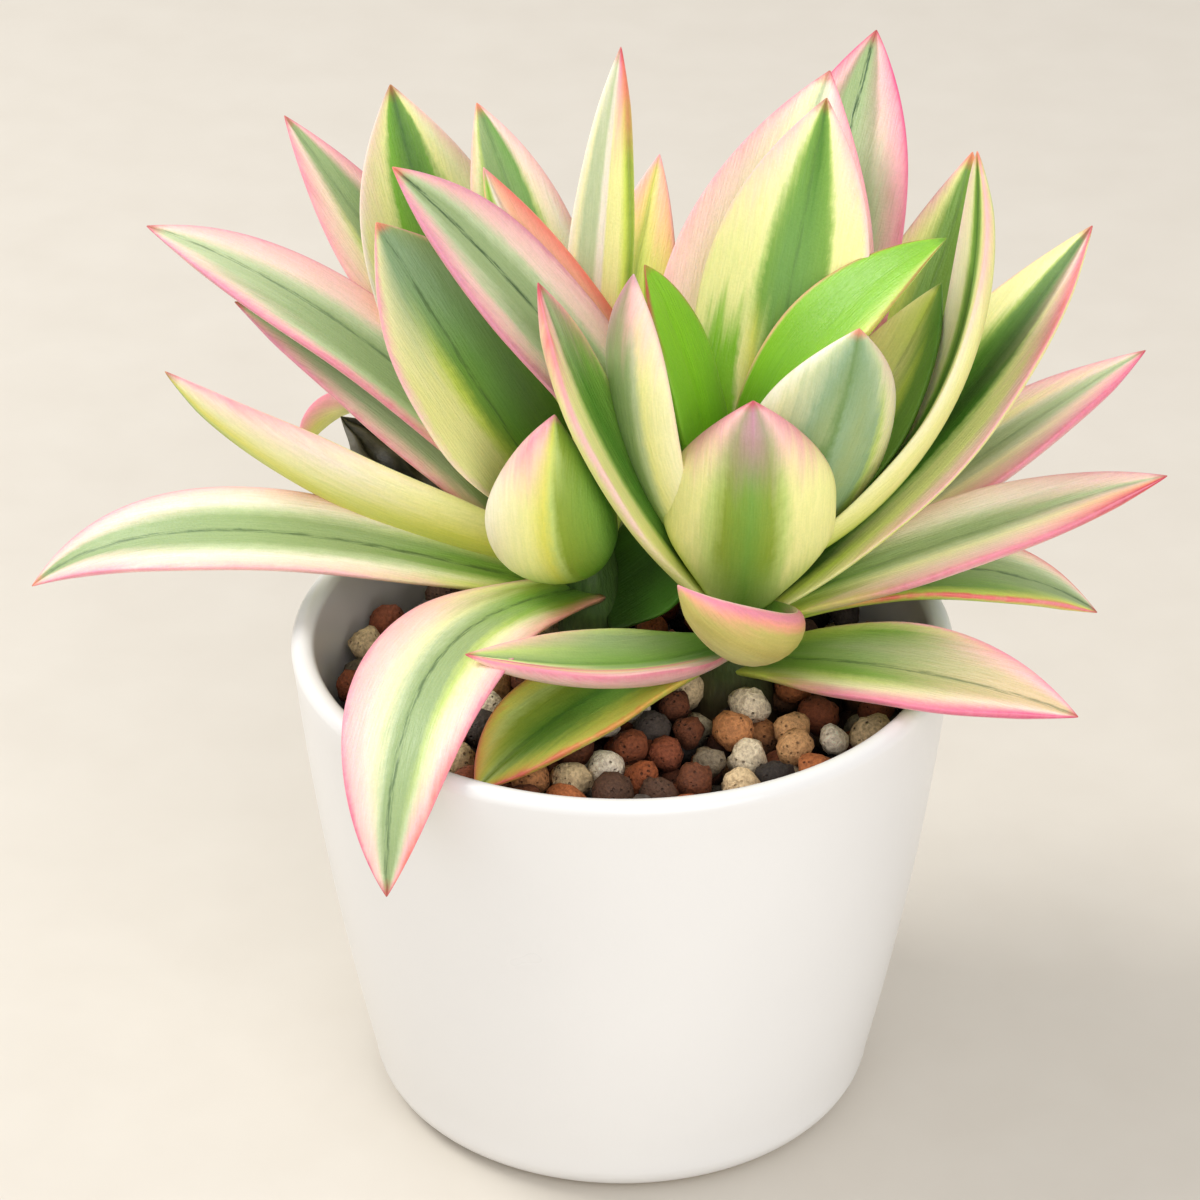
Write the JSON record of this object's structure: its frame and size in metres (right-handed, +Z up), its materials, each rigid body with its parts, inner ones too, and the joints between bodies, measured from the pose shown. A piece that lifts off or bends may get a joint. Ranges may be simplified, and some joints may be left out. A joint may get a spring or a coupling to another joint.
{
  "type": "potted succulent",
  "caption": "Potted variegated campfire crassula: two rosettes of thick pointed leaves with green centres, cream bands and pink edges, in pellets in a round tapered white pot.",
  "frame": {"origin": "centre of the pot's flat base, on the surface it stands on", "axes": "+Z up along the pot's axis, -Y the front as in the picture, +X to the right seen from the front"},
  "size_m": [0.1691, 0.1216, 0.1597],
  "materials": {
    "glaze": "satin",
    "pellets": "matte",
    "mix": "matte",
    "stem": "matte",
    "leaf_sage": "satin",
    "leaf_bright": "satin",
    "leaf_young": "satin",
    "leaf_cream": "satin",
    "leaf_pink": "satin",
    "leaf_withered": "matte"
  },
  "bodies": {
    "root": {"pot": "glaze", "potting_mix": "mix", "pellet_top_dressing": "pellets", "stem_left": "stem", "stem_right": "stem", "right_leaf_centre_large": "leaf_bright", "right_leaf_young_left": "leaf_young", "right_leaf_young_right": "leaf_young", "right_leaf_front_broad": "leaf_cream", "right_leaf_inner_white_edged": "leaf_sage", "right_leaf_purple_tip": "leaf_cream", "right_leaf_pink_edged": "leaf_pink", "right_leaf_coral_edged": "leaf_cream", "right_leaf_on_edge": "leaf_cream", "right_leaf_small_yellow": "leaf_cream", "right_leaf_pink_widest": "leaf_pink", "right_leaf_pink_tallest": "leaf_pink", "right_leaf_far_curved": "leaf_sage", "right_leaf_dark_striped": "leaf_sage", "right_leaf_far_back": "leaf_sage", "right_leaf_spreading_low": "leaf_sage", "right_leaf_spreading_high": "leaf_sage", "right_leaf_drooping": "leaf_sage", "right_leaf_small_rolled": "leaf_pink", "right_leaf_low_boat": "leaf_sage", "right_leaf_over_rim": "leaf_sage", "right_leaf_on_bed": "leaf_sage", "right_leaf_back_1": "leaf_sage", "right_leaf_back_2": "leaf_sage", "right_leaf_back_3": "leaf_sage", "left_leaf_narrow_keeled": "leaf_cream", "left_leaf_inner_broad": "leaf_sage", "left_leaf_young_cupped": "leaf_cream", "left_leaf_back_tall": "leaf_sage", "left_leaf_back_broad": "leaf_bright", "left_leaf_back_outer": "leaf_sage", "left_leaf_short_yellow": "leaf_cream", "left_leaf_outer_upper": "leaf_pink", "left_leaf_far_left": "leaf_cream", "left_leaf_outer_lower": "leaf_sage", "left_leaf_arching": "leaf_sage", "left_leaf_hanging": "leaf_sage", "left_leaf_drooping": "leaf_cream", "left_leaf_withered": "leaf_withered", "left_leaf_low_inner": "leaf_sage", "left_leaf_back_1": "leaf_sage", "left_leaf_back_2": "leaf_sage", "left_leaf_back_3": "leaf_sage"}
  },
  "joints": []
}
